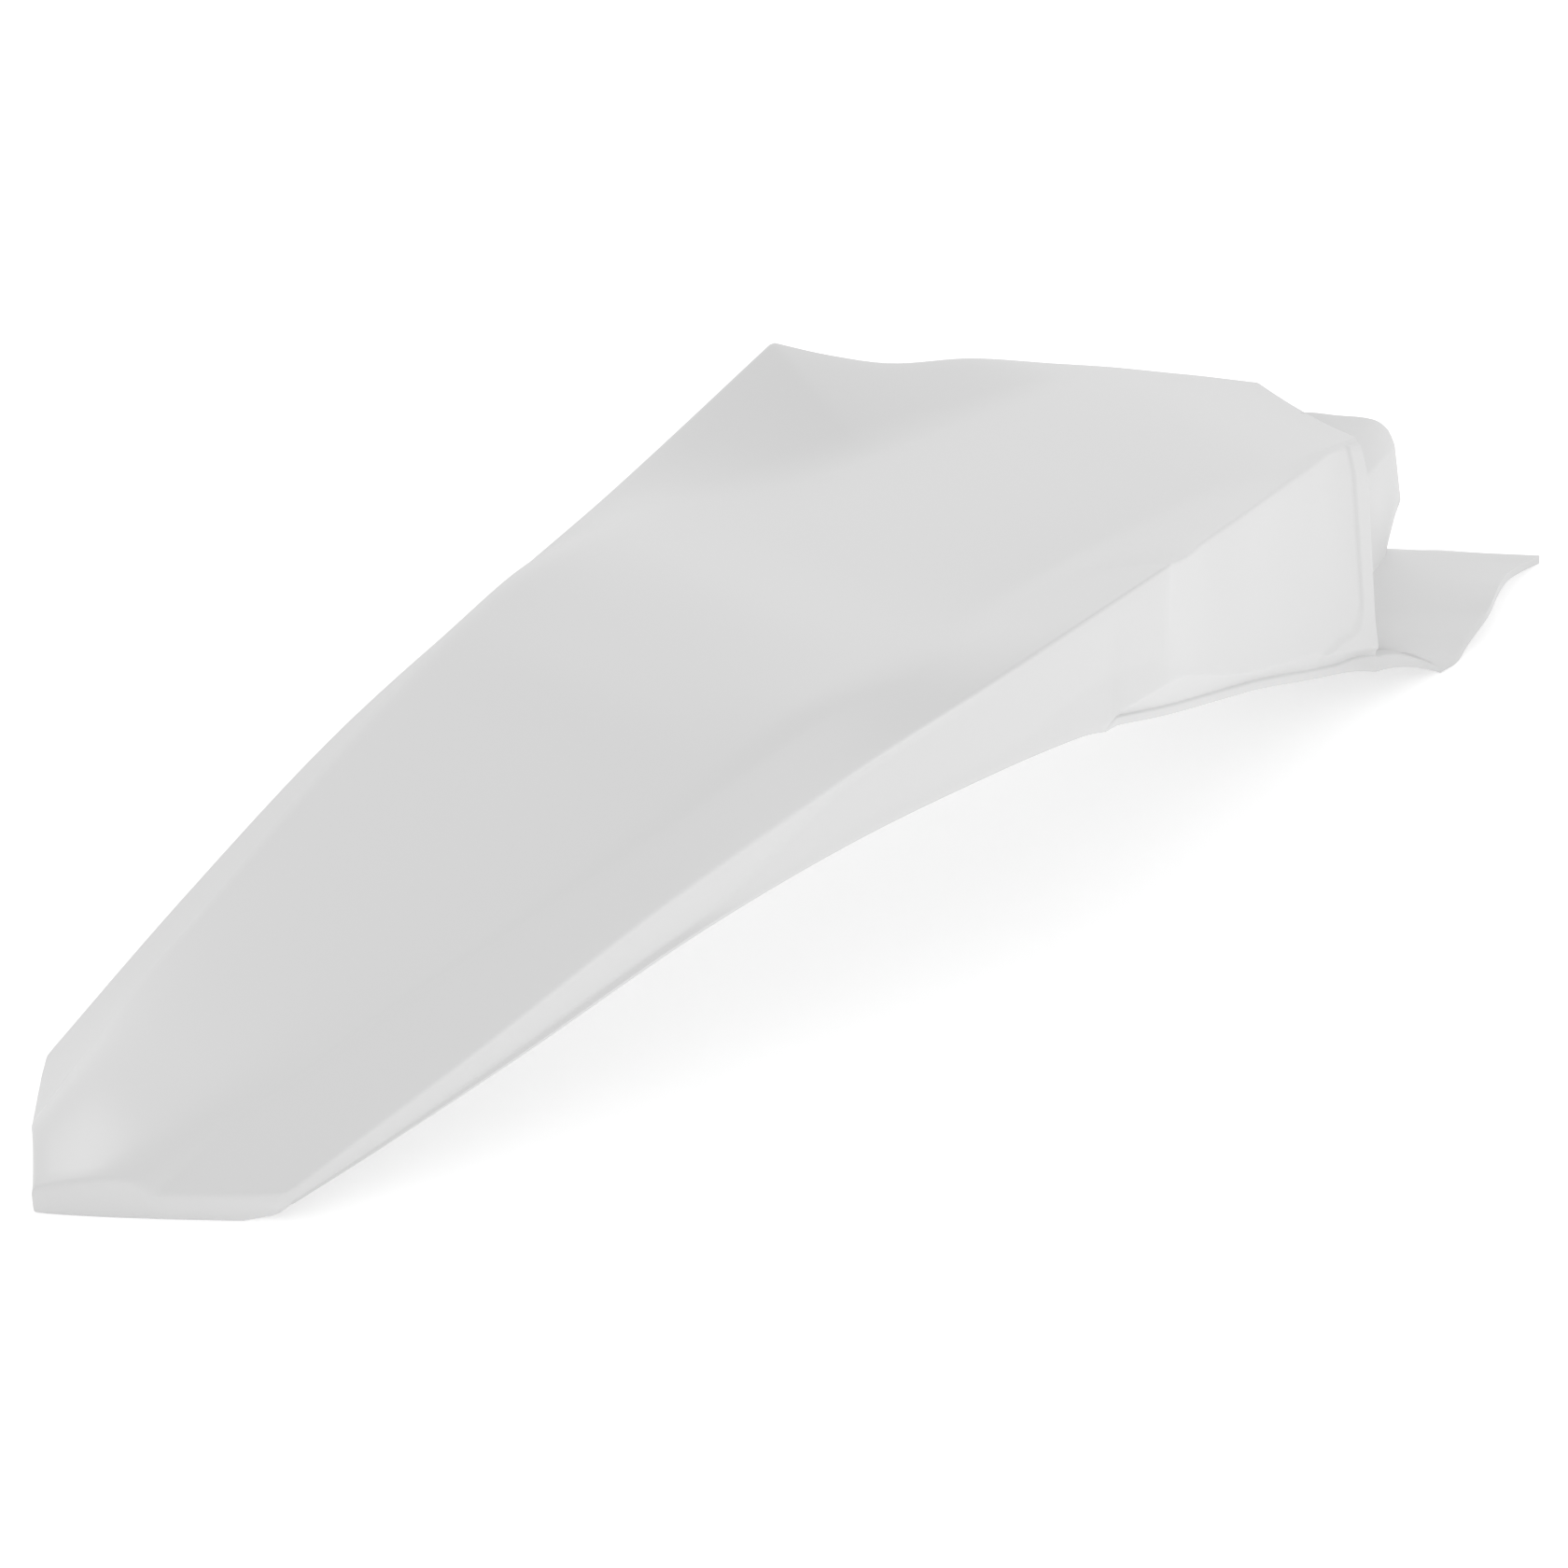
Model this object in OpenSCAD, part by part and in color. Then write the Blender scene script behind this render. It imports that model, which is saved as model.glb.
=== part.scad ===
// Rear fender of an off-road motorcycle, one plastic moulding.
// x runs forward from the tail tip, y to the left and z up, in millimetres.
// The part stands as it rests on a floor: on its tail end and on the edge of its tongue.

/* [Wall] */
// Thickness of the moulded wall
wall = 2.8; // [2:0.1:4]

/* [Tail] */
// Length from the tail tip to the crest, where the rising tail becomes the level top
tail_len = 305; // [280:1:330]
// Width over the two corners of the tail
tail_w = 131; // [110:1:150]
// How far the corners lie in front of the tail tip
tail_setback = 64; // [45:1:80]
// Height of the end face at the tail tip
tail_h = 10; // [6:0.5:16]
// How far the end face leans back over its foot
tail_lean = 4; // [0:0.5:8]

/* [Crest] */
// Width between the soft ridges at the crest
crest_w = 150; // [130:1:160]
// Height of the ridges at the crest
crest_h = 125; // [112:1:132]
// Rise of the middle of the top over its ridges
crown_h = 3; // [0:0.5:6]

/* [Wings] */
// Distance from the crest to the wing tips
wing_len = 138; // [120:1:160]
// Width over the wing tips, the widest place
wing_w = 216; // [200:1:230]
// Height of the wing tips, the highest place
wing_h = 147; // [138:1:158]

/* [Nose] */
// Distance from the wing tips to the front edge of the nose
nose_len = 161; // [145:1:180]
// Width between the ridges at the front edge of the nose
nose_w = 52; // [40:1:60]
// Height of the top of the nose at its front edge
nose_h = 103; // [95:1:112]
// Width of the nose at the foot of its walls
nose_foot_w = 77; // [70:1:86]
// Height of the foot of the nose walls
nose_foot_h = 24; // [20:0.5:30]
// Width of the raised rim along the front edge of the nose
rim_w = 9; // [6:0.5:12]
// How far the rim stands out from the nose walls
rim_t = 0.8; // [0.4:0.1:1.2]

/* [Side rail] */
// How far behind the wing tips the rail comes out from under the side wall
step_back = 23; // [16:1:30]
// How far the lip along the bottom of the rail stands out from its groove
lip_w = 3; // [1.5:0.5:4]
// Height of the lip along the bottom of the rail
lip_h = 3.5; // [2.5:0.5:5]

/* [Deck and tongue] */
// Distance from the front edge of the nose to the tip of the tongue
tongue_len = 112; // [98:1:130]
// Height of the crown of the deck at the front edge of the nose
deck_h = 49; // [42:1:56]
// Slope of the deck's crown back from there, in degrees
deck_slope = 24; // [22:0.5:26]
// Width over the front corners of the tongue
tongue_w = 74; // [66:1:82]
// Distance from the front edge of the nose to the corners of the tongue
tongue_corner = 32; // [24:1:44]

/* [Seat bracket] */
// Length of the bracket in front of the nose
bracket_len = 41; // [32:1:50]
// Width of the bracket where it leaves the nose
bracket_w = 26; // [18:1:34]
// Height of the bracket's top at its front end
bracket_h = 86; // [80:1:92]

/* [Bolt bosses] */
// Diameter of the clearance holes for M6 bolts
bolt_d = 6.6; // [6:0.1:8.5]
// Diameter of the bosses
boss_d = 18; // [14:0.5:22]
// Thickness of a boss along its bolt
boss_h = 16; // [14:0.5:20]
// Distance from the front edge of the nose back to the front pair of bolts
bolt_setback = 22; // [18:1:28]
// Distance between the front and the rear pair
bolt_pitch_x = 46; // [40:1:56]
// Distance between the two bolts of a pair
bolt_pitch_y = 40; // [34:1:48]

/* [Hidden] */
plastic = "#dcdcdc";

// Distances from the tail tip along the moulding
crest_x = tail_len;
wing_x = crest_x + wing_len;
step_x = wing_x - step_back;
nose_x = wing_x + nose_len;
length = nose_x + tongue_len;

// Stations of the sections: close together at the tail end, at the step and at the rim of the nose
fan_len = crest_x / 2;
step_fade = 8;
step_start = step_x - step_fade / 2;
rim_x = nose_x - rim_w;
tail_stations = [for (i = [0:21]) step_start * pow(i / 22, 1.25)];
step_stations = [for (i = [0:2]) step_start + i * step_fade / 2];
wing_stations = [for (t = [0.4, 0.75, 1]) mix(step_start + step_fade, wing_x, t)];
nose_stations = [for (i = [1:13]) mix(wing_x, rim_x - 1, i / 13)];
rim_stations = [rim_x + 0.5, nose_x];
skin_stations = concat(tail_stations, step_stations, wing_stations, nose_stations, rim_stations);

function mix(a, b, t) = a + (b - a) * t;
function ease(t) = let (c = min(1, max(0, t))) c * c * (3 - 2 * c);

// Value at x of the smooth curve through [x, value] keys
function secant(k, a, b) = (k[b][1] - k[a][1]) / (k[b][0] - k[a][0]);
function tangent(k, i) = secant(k, max(0, i - 1), min(len(k) - 1, i + 1));
function span(k, x, i = 0) = i >= len(k) - 2 || x < k[i + 1][0] ? i : span(k, x, i + 1);
function through(k, x) =
    let (i = span(k, x), w = k[i + 1][0] - k[i][0], t = (x - k[i][0]) / w)
    let (m0 = tangent(k, i) * w, m1 = tangent(k, i + 1) * w)
    mix(k[i][1], k[i + 1][1], t * t * (3 - 2 * t)) + m0 * t * (1 - t) * (1 - t) - m1 * t * t * (1 - t);

// Soft ridge: half width and height
ridge_x = 28;
function ridge_at(share) = mix(ridge_x, crest_x, share);
function front_at(share) = mix(wing_x, nose_x, share);
function hump_at(share) = mix(crest_x, wing_x, share);
ridge_start_h = tail_h + 0.5;
top_half = crest_w / 2;
back_half = 0.74 * top_half;
rear_spread = [[0.112, 0.493], [0.202, 0.565], [0.365, 0.66], [0.556, 0.8], [0.747, 0.92], [0.877, 0.98],
    [1, 1]];
ridge_half = [[ridge_x, tail_w / 4], for (k = rear_spread) [ridge_at(k[0]), k[1] * top_half],
    [hump_at(0.3), 0.96 * top_half], [hump_at(0.75), 0.81 * top_half], [front_at(0.1), back_half],
    [front_at(0.52), mix(back_half, nose_w / 2, 0.2)], [front_at(0.7), mix(back_half, nose_w / 2, 0.36)],
    [nose_x, nose_w / 2]];
rear_rise = [[0.112, 0.162], [0.202, 0.262], [0.365, 0.428], [0.556, 0.611], [0.747, 0.79], [0.877, 0.908]];
ridge_height = [[ridge_x, ridge_start_h],
    for (k = rear_rise) [ridge_at(k[0]), mix(ridge_start_h, crest_h, k[1])],
    [crest_x + 10, crest_h + 0.5], [hump_at(0.35), crest_h + 0.5], [hump_at(0.75), crest_h - 1.5],
    [front_at(0.25), crest_h], [front_at(0.62), crest_h - 2.5], [front_at(0.8), mix(crest_h, nose_h, 0.44)],
    [nose_x, nose_h - 0.5]];

// Middle of the top
middle_rise = [[0, 0], [0.082, 0.08], [0.193, 0.208], [0.275, 0.288], [0.423, 0.445], [0.597, 0.623],
    [0.77, 0.797], [0.889, 0.911]];
middle_height = [for (k = middle_rise) [k[0] * crest_x, mix(tail_h, crest_h + crown_h, k[1])],
    [crest_x + 20, crest_h + crown_h * 0.8], [hump_at(0.5), crest_h + 0.5], [front_at(0.25), crest_h + 0.5],
    [front_at(0.62), crest_h - 1.5], [front_at(0.8), mix(crest_h, nose_h, 0.44) + 0.5], [nose_x, nose_h]];

// Sharp crease from the tail corner up to the wing tip, then down to the nose
corner_x = tail_setback + 0.5;
corner_h = tail_h + 2;
nose_crease_half = nose_w / 2 + 1.5;
nose_crease_h = nose_h - 3.5;
crease_spread = [for (k = [[0, 0], [0.2, 0.28], [0.41, 0.49], [0.64, 0.665], [0.79, 0.79], [1, 1]])
    [mix(corner_x, wing_x, k[0]), mix(tail_w, wing_w, k[1]) / 2]];
crease_rise = [for (k = [[0, 0], [0.2, 0.25], [0.41, 0.495], [0.64, 0.695], [0.79, 0.82], [1, 1]])
    [mix(corner_x, wing_x, k[0]), mix(corner_h, wing_h, k[1])]];
crease_close = [[0, 1], [0.11, 0.87], [0.25, 0.68], [0.42, 0.57], [0.6, 0.4], [0.72, 0.28], [0.82, 0.17],
    [0.91, 0.07], [1, 0]];
crease_fall = [[0, 1], [0.11, 0.845], [0.25, 0.695], [0.42, 0.64], [0.6, 0.475], [0.72, 0.39], [0.82, 0.27],
    [0.91, 0.19], [1, 0]];
function nose_share(x) = (x - wing_x) / nose_len;
function crease_y(x) = x <= wing_x ? through(crease_spread, x)
    : mix(nose_crease_half, wing_w / 2, through(crease_close, nose_share(x)));
function crease_z(x) = x <= wing_x ? through(crease_rise, x)
    : mix(nose_crease_h, wing_h, through(crease_fall, nose_share(x)));

// Lower edge of the side wall, which is the lower edge of the rail in front of the step
edge_x = tail_setback + 4;
edge_h = tail_h - 2;
undercut = 3;
function side_at(share) = mix(edge_x, step_x, share);
function rail_at(share) = mix(step_x, nose_x, share);
edge_half_rear = [[edge_x, tail_w / 2 + 0.5], [side_at(0.28), crease_y(side_at(0.28)) - undercut - 1],
    [side_at(0.49), crease_y(side_at(0.49)) - undercut + 1], [side_at(0.67), crease_y(side_at(0.67))],
    [step_x, crease_y(step_x) - 0.5]];
step_edge_h = 0.6 * wing_h;
edge_rise = [[0, 0], [0.1, 0.112], [0.28, 0.348], [0.49, 0.665], [0.67, 0.865], [0.84, 0.96], [0.96, 1],
    [1, 0.97]];
edge_height_rear = [for (k = edge_rise) [side_at(k[0]), mix(edge_h, step_edge_h, k[1])]];
rail_front_x = rail_at(0.935);
rail_half = wing_w / 2 - 5;
rail_end_half = tongue_w / 2 + 1.5;
rail_h = step_edge_h - 1.5;
rail_end_h = 13;
rail_close = [[0, 0], [0.06, 0.015], [0.18, 0.1], [0.36, 0.287], [0.74, 0.73], [0.935, 0.985], [1, 1]];
edge_half_front = [for (k = rail_close) [rail_at(k[0]), mix(rail_half, rail_end_half, k[1])]];
rail_fall = [[0, 0], [0.06, 0.04], [0.18, 0.14], [0.36, 0.307], [0.54, 0.48], [0.74, 0.707], [0.935, 0.933],
    [1, 1]];
edge_height_front = [for (k = rail_fall) [rail_at(k[0]), mix(rail_h, rail_end_h, k[1])]];

// Foot of the side wall over the groove
wing_foot_h = 0.656 * wing_h;
foot_close = [[0, 0], [0.06, 0.045], [0.12, 0.13], [0.4, 0.4], [1, 1]];
foot_half = [[step_x, crease_y(step_x) - 0.5], [mix(step_x, wing_x, 0.35), wing_w / 2 - 2],
    for (k = foot_close) [front_at(k[0]), mix(wing_w / 2 - 2, nose_foot_w / 2, k[1])]];
foot_fall = [[0, 0], [0.06, 0.02], [0.12, 0.09], [0.38, 0.393], [0.69, 0.683], [1, 1]];
foot_height = [[step_x, wing_foot_h - 4], [mix(step_x, wing_x, 0.35), wing_foot_h - 2],
    for (k = foot_fall) [front_at(k[0]), mix(wing_foot_h, nose_foot_h, k[1])]];

// Fold above the foot: a narrow strip that widens to the step
fold_rise = [[0.5, 0.5], [0.7, 0.731], [0.8, 0.772], [0.89, 0.835], [0.94, 0.927], [0.98, 0.98]];
wing_fold_h = 0.731 * wing_h;
fold_height = [for (k = fold_rise) [side_at(k[0]), mix(edge_h + 16.5, wing_fold_h, k[1])],
    [wing_x, wing_fold_h], [front_at(0.12), 0.857 * wing_fold_h], [front_at(0.38), 0.65 * wing_fold_h],
    [nose_x, nose_foot_h + 2]];

function square_up(s) = max(0, 1 - s / fan_len);
function rail(s) = ease((s - step_start) / step_fade);
function rim(s) = rim_t * min(1, max(0, (s - rim_x + 1) / 1.5));

// Rows of feature points at a station, each as [x, y, z]
function middle_pt(s) = [s, 0, through(middle_height, s)];
function ridge_pt(s) =
    let (x = s + ridge_x * square_up(s))
    [x, through(ridge_half, x), through(ridge_height, x)];
function crease_pt(s) =
    let (x = s + corner_x * square_up(s))
    [x, crease_y(x) + rim(s), crease_z(x)];
function edge_pt(s) =
    let (x = s + edge_x * square_up(s), b = rail(s))
    [x, mix(through(edge_half_rear, x), through(edge_half_front, x), b),
        mix(through(edge_height_rear, x), through(edge_height_front, x), b)];
function foot_pt(s) =
    let (e = edge_pt(s), c = crease_pt(s), b = rail(s), low = mix(e, c, 0.06))
    [e[0], mix(low[1], through(foot_half, e[0]) + rim(s), b), mix(low[2], through(foot_height, e[0]), b)];
// The sharp fold that parts the undercut tail from the side wall runs up from the lower edge to the crease
undercut_start = side_at(0.466);
undercut_end = side_at(0.693);
hollow_start = hump_at(0.145);
hollow_end = hump_at(0.58);
bulge_len = 30;
function valley_share(x) = mix(0.9, 0.12, ease((x - undercut_start) / (undercut_end - undercut_start)));
function nose_bulge(s) = 2.2 * ease(1 - (nose_x - s) / bulge_len);
function side_hollow(s) = 1 - ease((s - hollow_start) / (hollow_end - hollow_start));
function valley_pt(s) =
    let (c = crease_pt(s), f = foot_pt(s))
    mix(c, f, valley_share(c[0])) - [0, min(1.8, 0.08 * (c[2] - f[2])) * side_hollow(s) - nose_bulge(s), 0];
function fold_pt(s) =
    let (v = valley_pt(s), f = foot_pt(s), low = mix(f[2], v[2], 0.15), high = mix(f[2], v[2], 0.7))
    let (z = max(low, min(high, through(fold_height, f[0]))), t = (v[2] - z) / (v[2] - f[2]))
    [mix(v[0], f[0], t), mix(v[1], f[1], t) - 0.08 * (z - f[2]), z];

// Half a section of the outer face, from the middle of the top to the lower edge.
// At the tail a narrow facet lies along the ridge, which softens into a wide round farther forward.
flat_share = 0.78;
function round_out(s) = mix(0.12, 0.42, ease(s / (1.4 * fan_len)));
function top_drop(s) = mix(5, 2, ease(1.5 * s / fan_len));
function top_pt(m, r, t, drop) = [mix(m[0], r[0], pow(t, 0.9)), r[1] * t, mix(m[2], r[2], pow(t, drop))];
function bend(a, b, c, t) = mix(mix(a, b, t), mix(b, c, t), t);
crease_col = 9;
edge_col = 17;
groove_gap = 1;
function half_section(s) =
    let (m = middle_pt(s), r = ridge_pt(s), c = crease_pt(s))
    let (v = valley_pt(s), f = foot_pt(s), e = edge_pt(s))
    let (a = top_pt(m, r, flat_share, top_drop(s)), o = mix(r, c, round_out(s)), b = rail(s), y = e[1] - lip_w)
    concat([for (t = [0, 0.36, 0.7]) top_pt(m, r, t * flat_share, top_drop(s))],
        [for (t = [0:0.25:1]) bend(a, r, o, t)],
        [mix(o, c, 0.55), c, mix(c, v, 0.5), v, fold_pt(s), f],
        [mix(mix(f, e, 0.3), [f[0], y, f[2] - 1.5 * groove_gap], b),
            mix(mix(f, e, 0.55), [e[0], y, e[2] + lip_h + groove_gap], b),
            mix(mix(f, e, 0.8), [e[0], e[1], e[2] + lip_h], b), e]);

// Foot of the end face, on the floor under each point of the first section
end_draft = 0.93;
function side_count(k) = (k - crease_col) / (edge_col - crease_col);
function foot_of_end(h, k) =
    let (near = end_draft * h[min(k, crease_col)][1])
    let (y = k <= crease_col ? near : mix(near, h[edge_col][1], side_count(k)), q = 2 * y / tail_w)
    [tail_lean * (1 - q) + tail_setback * 1.06 * pow(q, 1.1), y, edge_h * ease((q - 0.86) / 0.15)];

function mirrored(h) = [for (k = [-edge_col:edge_col]) [h[abs(k)][0], sign(k) * h[abs(k)][1], h[abs(k)][2]]];
first = half_section(0);
skin = concat([mirrored([for (k = [0:edge_col]) foot_of_end(first, k)])],
    [for (s = skin_stations) mirrored(half_section(s))]);

// The inner face lies a wall's thickness inside, and stays flat behind the groove and the lip
function unit(v) = v / norm(v);
function inward(g, i, k) =
    let (n = len(g) - 1, w = len(g[0]) - 1)
    let (along = g[min(n, i + 1)][k] - g[max(0, i - 1)][k], across = g[i][min(w, k + 1)] - g[i][max(0, k - 1)])
    unit(cross(along, across)) * -wall;
// Along the foot of the end face the wall's thickness is level, and square to the slanted end
function end_inward(p) = let (t = min(1, abs(p[1]) / 15)) [mix(1.45, 0.69, t), -0.72 * t * sign(p[1]), 0] * wall;
end_fade = 30;
function side_y(row, side, z) =
    lookup(z, [for (k = [edge_col:-1:crease_col]) let (p = row[edge_col + side * k]) [p[2], abs(p[1])]]);
function side_inner(row, side, col, s) =
    let (c = row[edge_col + side * crease_col], e = row[edge_col + side * edge_col], t = side_count(col))
    let (top = [c[0] + wall * max(0, 1 - s / end_fade), abs(c[1]) - wall, c[2] - 1.2 * wall])
    let (z = mix(top[2], e[2], t), flat = mix(top[1], abs(e[1]) - lip_w - wall, t))
    [mix(top[0], e[0], t), side * mix(side_y(row, side, z) - wall, flat, rail(s)), z];
function inner_pt(g, i, k) =
    let (side = sign(k - edge_col), col = abs(k - edge_col))
    i == 0 ? g[i][k] + end_inward(g[i][k])
    : col < crease_col ? g[i][k] + inward(g, i, k)
    : side_inner(g[i], side, col, skin_stations[i - 1]);
skin_inside = [for (i = [0:len(skin) - 1]) [for (k = [0:2 * edge_col]) inner_pt(skin, i, k)]];

// Closed sheet between an upper and a lower grid of points
module sheet(upper, lower) {
    n = len(upper);
    w = len(upper[0]);
    last = n - 1;
    function at(i, k) = i * w + k;
    function low(i, k) = n * w + at(i, k);
    function quad(a, b, c, d) = [[a, b, c], [a, c, d]];
    cells = [for (i = [0:n - 2]) for (k = [0:w - 2]) [i, k]];
    tops = [for (c = cells) let (i = c[0], k = c[1])
        each quad(at(i, k), at(i, k + 1), at(i + 1, k + 1), at(i + 1, k))];
    undersides = [for (c = cells) let (i = c[0], k = c[1])
        each quad(low(i, k), low(i + 1, k), low(i + 1, k + 1), low(i, k + 1))];
    sides = [for (i = [0:n - 2]) each concat(quad(at(i, 0), at(i + 1, 0), low(i + 1, 0), low(i, 0)),
        quad(at(i, w - 1), low(i, w - 1), low(i + 1, w - 1), at(i + 1, w - 1)))];
    ends = [for (k = [0:w - 2]) each concat(quad(at(0, k), low(0, k), low(0, k + 1), at(0, k + 1)),
        quad(at(last, k), at(last, k + 1), low(last, k + 1), low(last, k)))];
    polyhedron(points = [for (g = [upper, lower]) for (row = g) for (p = row) p],
        faces = concat(tops, undersides, sides, ends), convexity = 8);
}

// Wheel-side deck: an arch between the rails that rises to the skin at its rear, and runs out as the tongue
deck_start = wing_x - 10;
deck_free = wing_x + 42;
deck_t = wall * 1.15;
deck_shares = [0, 0.06, 0.12, 0.2, 0.3, 0.42, 0.56, 0.7, 0.8, 0.9, 1];
function deck_edge(s) = let (e = edge_pt(s)) [s, e[1] - lip_w - wall / 2, e[2]];
function arch_z(s, q) = mix(deck_h + (nose_x - s) * tan(deck_slope), deck_edge(s)[2] + deck_t, pow(q, 1.5));
function skin_z(s, y) = let (h = half_section(s)) lookup(y, [for (k = [0:crease_col]) [h[k][1], h[k][2]]]);
function deck_pt(s, q) =
    let (y = deck_edge(s)[1] * q, top = skin_z(s, y) - 0.6 * wall)
    let (up = ease((deck_free - s) / (deck_free - deck_start)))
    [s, y, mix(min(arch_z(s, q), top), top, up)];

// The tongue's front edge: a tip on the floor, a low arch, and rounded corners on the floor
tip_reach = tongue_len - tongue_corner;
front_reach = [[0, 1], [0.06, 0.93], [0.12, 0.86], [0.27, 0.75], [0.5, 0.59], [0.73, 0.42], [0.84, 0.265],
    [0.93, 0.14], [1, 0]];
front_arch = 8;
front_rise = [[0, 0], [0.12, 0.35], [0.27, 0.75], [0.5, 1], [0.73, 0.85], [0.84, 0.3], [0.93, 0.07], [1, 0]];
function tongue_front(q) = [nose_x + tongue_corner + tip_reach * through(front_reach, q), q * tongue_w / 2,
    deck_t + front_arch * through(front_rise, q)];
half_deck = concat(
    [for (t = [0:1 / 6:1]) [for (q = deck_shares) deck_pt(mix(deck_start, deck_free, t), q)]],
    [for (t = [0.18:0.2:0.99]) [for (q = deck_shares) deck_pt(mix(deck_free, nose_x, t), q)]],
    [for (t = [0:0.125:1]) [for (q = deck_shares) mix(deck_pt(nose_x, q), tongue_front(q), t)]]);
function whole(half) = [for (row = half) [for (k = [1 - len(row):len(row) - 1])
    [row[abs(k)][0], sign(k) * row[abs(k)][1], row[abs(k)][2]]]];
deck_top = whole(half_deck);
deck_bottom = [for (row = deck_top) [for (p = row) p - [0, 0, deck_t]]];

// Seat bracket: a hollow prow on the deck's crown, open to the nose behind it
function tongue_share(x, q) = (x - nose_x) / (tongue_front(q)[0] - nose_x);
function deck_under(x, q) = x < nose_x ? arch_z(x, q) - deck_t
    : mix(arch_z(nose_x, q), tongue_front(q)[2], tongue_share(x, q)) - deck_t;
bracket_fold = 0.69 * nose_h;
bracket_root = 14;
// Each rib: place, lean of its foot, height of its ridge, half width and height of its eave
// and of its fold, then half width of its foot; the half widths are shares of the bracket's width
bracket_ribs = [
    [-bracket_root, 0, nose_h + 2, 0.95, nose_h - 19, 0.98, bracket_fold + 9, 0.8],
    [bracket_len * 0.3, 0, mix(nose_h, bracket_h, 0.34), 0.69, nose_h - 23, 0.75, bracket_fold, 0.62],
    [bracket_len * 0.78, -3, bracket_h + 2, 0.3, bracket_h - 8, 0.28, bracket_fold - 16, 0.26],
    [bracket_len, -8, bracket_h - 9, 0.08, bracket_h - 10, 0.06, bracket_fold - 21, 0.08]];
function bracket_ring(r, in) =
    let (x = nose_x + r[0], foot_x = x + r[1], foot_y = r[7] * bracket_w)
    let (foot = deck_under(foot_x, 2 * foot_y / tongue_w) + wall / 2, crown = deck_under(foot_x, 0) + wall / 2)
    let (fold = [x + 0.25 * abs(r[1]), r[5], r[6]])
    let (half = [[x, 0.02, r[2] - in], [x, r[3], r[4] - in], fold, [foot_x, r[7], foot]])
    [for (p = concat(half, [[foot_x, 0, crown]], [for (i = [3:-1:0]) [half[i][0], -half[i][1], half[i][2]]]))
        [p[0], sign(p[1]) * max(0.3, abs(p[1]) * bracket_w - in), p[2]]];
module loft(rings) {
    n = len(rings[0]);
    last = len(rings) - 1;
    polyhedron(points = [for (r = rings) for (p = r) p],
        faces = concat([[for (i = [n - 1:-1:0]) i]], [[for (i = [0:n - 1]) last * n + i]],
            [for (j = [0:last - 1]) for (i = [0:n - 1])
                let (a = j * n + i, b = j * n + (i + 1) % n)
                each [[a, b + n, a + n], [a, b, b + n]]]));
}

module bracket() {
    difference() {
        loft([for (r = bracket_ribs) bracket_ring(r, 0)]);
        loft([for (r = bracket_ribs) bracket_ring(concat(r[0] - wall, [for (i = [1:7]) r[i]]), wall)]);
    }
}

// The rail's lip runs on along the side of the tongue and fades out at its corner
lip_end_x = nose_x + tongue_corner;
lip_ribs = [for (t = [-0.15, 0, 0.3, 0.6, 0.85, 1])
    let (x = mix(nose_x, lip_end_x, t), out = tongue_w / 2 + mix(1.5, 0, ease(t)))
    let (z = mix(rail_end_h, 0, pow(max(0, t), 1.6)) - min(0, t) * 14, h = lip_h * mix(1, 0.6, ease(t)))
    [[x, out - lip_w - wall, z], [x, out - lip_w - wall, z + h + 1], [x, out, z + h], [x, out, z]]];
module tongue_lip() {
    loft(lip_ribs);
    mirror([0, 1, 0]) loft(lip_ribs);
}

// Everything moulded around the skin, apart from the round bosses
module shell() {
    resize([length, 0, 0]) {
        sheet(skin, skin_inside);
        sheet(deck_top, deck_bottom);
        bracket();
        tongue_lip();
    }
}

// Upright bosses on the deck for the bolts that come up from below
bolt_rows = [nose_x - bolt_setback, nose_x - bolt_setback - bolt_pitch_x];
bolt_spots = [for (x = bolt_rows) for (side = [-1, 1])
    let (y = bolt_pitch_y / 2, underside = arch_z(x, y / deck_edge(x)[1]) - deck_t)
    [x, side * y, underside - boss_h / 2]];

module rear_fender() {
    color(plastic)
    translate([-length / 2, 0, 0])
    difference() {
        union() {
            shell();
            for (p = bolt_spots) translate(p) cylinder(d = boss_d, h = boss_h, $fn = 48);
        }
        for (p = bolt_spots) translate(p - [0, 0, 1]) cylinder(d = bolt_d, h = boss_h + 2, $fn = 48);
    }
}

rear_fender();
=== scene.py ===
import math

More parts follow.
